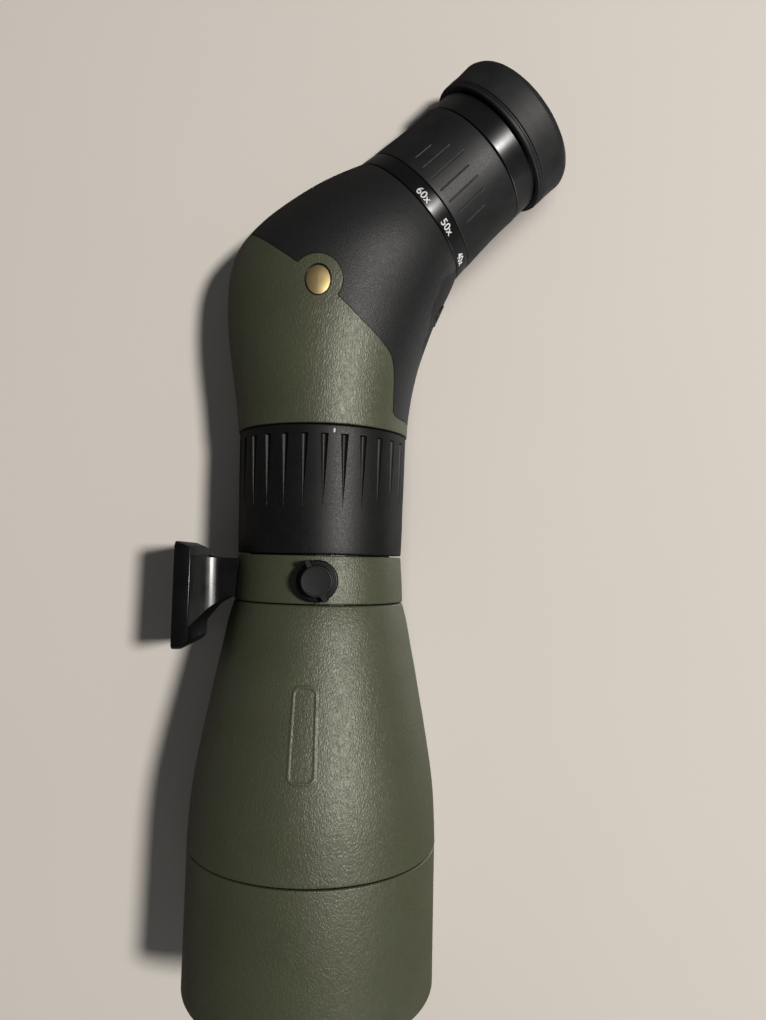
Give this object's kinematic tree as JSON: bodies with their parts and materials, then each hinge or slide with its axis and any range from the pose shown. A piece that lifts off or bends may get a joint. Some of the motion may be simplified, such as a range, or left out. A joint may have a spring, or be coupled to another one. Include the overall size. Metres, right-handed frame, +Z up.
{
  "type": "spotting scope",
  "caption": "Angled prismatic spotting scope with barrel focus ring, rotating tripod collar, sliding sunshade and twist-up zoom eyepiece.",
  "frame": {"origin": "centre of the flat base of the tripod foot", "axes": "+X along the main optical axis towards the objective, +Z up from the foot's base through the collar, towards the eyepiece side; the clamp knob is on the -Y side"},
  "size_m": [0.3812, 0.0998, 0.1574],
  "materials": {
    "green_armour": "dark olive green rubber armour with a fine leather-like grain, satin",
    "collar_green": "dark olive green satin paint on aluminium",
    "black_armour": "matte black rubber armour, fine grain",
    "black_rubber": "moulded black rubber grip",
    "gloss_black": "gloss black anodised and painted aluminium",
    "satin_black": "satin black moulded plastic",
    "anodised": "black anodised aluminium",
    "glass": "coated optical glass, faint green and violet reflections",
    "steel": "plain steel",
    "brass": "brass pad",
    "gold": "gold-toned domed insert, blank"
  },
  "bodies": {
    "main_body": {"main_tube": "anodised", "body_armour": "green_armour", "objective_barrel": "anodised", "objective_cell": "anodised", "objective_lens_rear": "glass", "objective_spacer": "anodised", "objective_lens_front": "glass", "objective_retainer": "anodised", "objective_lock_ring": "anodised", "baffle_rear": "anodised", "baffle_front": "anodised", "housing_core": "anodised", "housing_armour_lower": "green_armour", "housing_armour_upper": "black_armour", "badge_bezel": "satin_black", "badge_insert": "gold", "roof_prism": "glass", "prism_cage": "anodised", "prism_clip": "steel", "prism_screw_a": "steel", "prism_screw_b": "steel", "prism_screw_c": "steel", "eyepiece_socket": "steel", "button_spring": "steel"},
    "sunshade": {"sunshade_armour": "green_armour", "sunshade_tube": "anodised"},
    "focus_ring": {"focus_ring_sleeve": "anodised", "focus_ring_grip": "black_rubber"},
    "focus_lens_carrier": {"focus_lens_cell": "anodised", "focus_lens": "glass", "focus_lens_retainer": "anodised", "focus_drive_pin": "steel"},
    "tripod_collar": {"collar_ring": "collar_green", "tripod_foot": "gloss_black", "foot_screw_rear": "steel", "foot_screw_front": "steel"},
    "clamp_knob": {"collar_knob": "satin_black", "clamp_screw": "steel"},
    "clamp_pad": {"clamp_shoe": "brass"},
    "release_button": {"release_button": "satin_black"},
    "eyepiece": {"eyepiece_barrel": "anodised", "field_lens": "glass", "upper_ring": "gloss_black", "eye_lens_cell": "anodised", "eye_lens": "glass", "eye_lens_retainer": "anodised"},
    "zoom_ring": {"zoom_scale_ring": "gloss_black", "zoom_grip": "black_rubber"},
    "zoom_front_group": {"zoom_front_cell": "anodised", "zoom_front_lens": "glass", "zoom_front_pin": "steel"},
    "zoom_rear_group": {"zoom_rear_cell": "anodised", "zoom_rear_lens": "glass", "zoom_rear_pin": "steel"},
    "eyecup_guide": {"eyecup_guide_sleeve": "anodised"},
    "eyecup": {"eyecup_shell": "satin_black", "eyecup_rubber": "black_rubber"}
  },
  "joints": [
    {"name": "sunshade_slide", "type": "slide", "parent": "main_body", "child": "sunshade", "axis": [1, 0, 0], "range_m": [0, 0.042]},
    {"name": "focus_ring_turn", "type": "hinge", "parent": "main_body", "child": "focus_ring", "pos_m": [-0.016, 0, 0.0562], "axis": [1, 0, 0], "range_deg": [-135, 135]},
    {"name": "focus_lens_slide", "type": "slide", "parent": "main_body", "child": "focus_lens_carrier", "axis": [1, 0, 0], "range_m": [-0.0081, 0.0081]},
    {"name": "collar_turn", "type": "hinge", "parent": "main_body", "child": "tripod_collar", "pos_m": [-0.016, 0, 0.0562], "axis": [-1, 0, 0], "continuous": true},
    {"name": "clamp_knob_turn", "type": "hinge", "parent": "tripod_collar", "child": "clamp_knob", "pos_m": [-0.00725, -0.036, 0.0574], "axis": [0, 1, 0], "range_deg": [-90, 90]},
    {"name": "clamp_pad_slide", "type": "slide", "parent": "tripod_collar", "child": "clamp_pad", "axis": [0, 1, 0], "range_m": [-0.0002, 0.0002]},
    {"name": "release_button_press", "type": "slide", "parent": "main_body", "child": "release_button", "axis": [0, 0, -1], "range_m": [0, 0.0012], "stiffness_N_per_m": 800, "deforming": ["button_spring"]},
    {"name": "eyepiece_turn", "type": "hinge", "parent": "main_body", "child": "eyepiece", "pos_m": [-0.1266, 0, 0.0562], "axis": [-0.7071, 0, 0.7071], "range_deg": [0, 30]},
    {"name": "zoom_ring_turn", "type": "hinge", "parent": "eyepiece", "child": "zoom_ring", "pos_m": [-0.1266, 0, 0.0562], "axis": [-0.7071, 0, 0.7071], "range_deg": [-14, 82]},
    {"name": "zoom_front_slide", "type": "slide", "parent": "eyepiece", "child": "zoom_front_group", "axis": [-0.7071, 0, 0.7071], "range_m": [-0.001, 0.005]},
    {"name": "zoom_rear_slide", "type": "slide", "parent": "eyepiece", "child": "zoom_rear_group", "axis": [-0.7071, 0, 0.7071], "range_m": [-0.0042, 0.0008]},
    {"name": "eyecup_twist", "type": "hinge", "parent": "eyepiece", "child": "eyecup_guide", "pos_m": [-0.1266, 0, 0.0562], "axis": [-0.7071, 0, 0.7071], "range_deg": [0, 150]},
    {"name": "eyecup_lift", "type": "slide", "parent": "eyecup_guide", "child": "eyecup", "axis": [-0.7071, 0, 0.7071], "range_m": [0, 0.011]}
  ],
  "couplings": [
    {"joint": "focus_lens_slide", "follows": "focus_ring_turn", "m_per_rad": 0.0034},
    {"joint": "clamp_pad_slide", "follows": "clamp_knob_turn", "m_per_rad": 0.000125},
    {"joint": "zoom_front_slide", "follows": "zoom_ring_turn", "m_per_rad": 0.0034},
    {"joint": "zoom_rear_slide", "follows": "zoom_ring_turn", "m_per_rad": -0.0028},
    {"joint": "eyecup_lift", "follows": "eyecup_twist", "m_per_rad": 0.0042}
  ]
}
